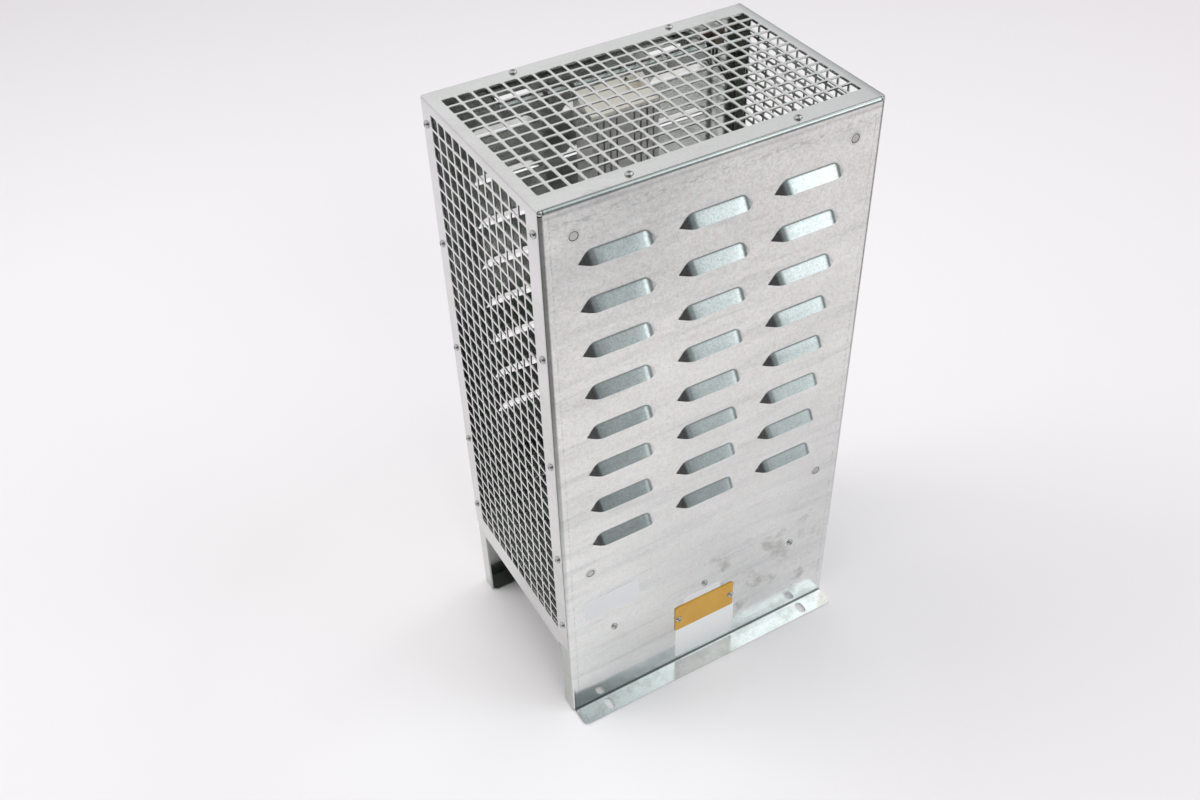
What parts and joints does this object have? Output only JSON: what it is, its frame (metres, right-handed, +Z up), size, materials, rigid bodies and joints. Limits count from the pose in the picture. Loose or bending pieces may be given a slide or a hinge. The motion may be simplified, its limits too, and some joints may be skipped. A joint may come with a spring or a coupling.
{
  "type": "braking resistor",
  "caption": "Braking resistor in a louvred zinc-coated steel box with a punched cover, two feet with slots and a housed wirewound element inside.",
  "frame": {"origin": "middle of the footprint, on the plane the feet stand on", "axes": "+X to the right seen from the louvred front, -Y out of the front panel, +Z up"},
  "size_m": [0.2716, 0.1994, 0.5158],
  "materials": {
    "zinc_sheet": "bright zinc coated sheet, faint rolling grain",
    "zinc_screw": "bright zinc plated",
    "bright_sheet": "bright sheet",
    "amber_plate": "amber lacquer on sheet",
    "extruded_aluminium": "natural extruded",
    "ceramic_former": "unglazed",
    "resistance_alloy": "drawn wire layer",
    "sand_cement": "cast filling",
    "cream_ceramic": "unglazed",
    "white_ceramic": "glazed",
    "lead_sleeve": "woven sleeve",
    "brown_wire": "wire sleeve",
    "bushing_rubber": "moulded",
    "switch_body": "moulded",
    "clamp_brass": "machined",
    "stud_steel": "zinc plated"
  },
  "bodies": {
    "root": {"front_panel": "zinc_sheet", "rear_panel": "zinc_sheet", "cover_sheet": "zinc_sheet", "grille_top": "zinc_sheet", "grille_left": "zinc_sheet", "grille_right": "zinc_sheet", "shelf": "zinc_sheet", "rail_upper": "zinc_sheet", "rail_lower": "zinc_sheet", "terminal_carrier": "zinc_sheet", "cover_screws_left": "zinc_screw", "cover_screws_right": "zinc_screw", "cover_screws_top": "zinc_screw", "plate_screws": "zinc_screw", "shelf_screws": "zinc_screw", "bracket_screws_upper": "zinc_screw", "bracket_screws_lower": "zinc_screw", "switch_screws": "zinc_screw", "terminal_screws": "zinc_screw", "front_plate": "amber_plate", "bracket_upper": "bright_sheet", "bracket_lower": "bright_sheet", "resistor_housing": "extruded_aluminium", "resistor_core": "ceramic_former", "resistor_winding": "resistance_alloy", "cement_fill": "sand_cement", "end_cap_top": "cream_ceramic", "end_cap_bottom": "cream_ceramic", "lead_left": "lead_sleeve", "lead_right": "lead_sleeve", "thermal_leads": "brown_wire", "wire_bushings": "bushing_rubber", "thermal_switch": "switch_body", "terminal_block": "white_ceramic", "terminal_clamps": "clamp_brass", "earth_stud": "stud_steel", "earth_washer": "stud_steel", "earth_nut": "stud_steel"}
  },
  "joints": []
}
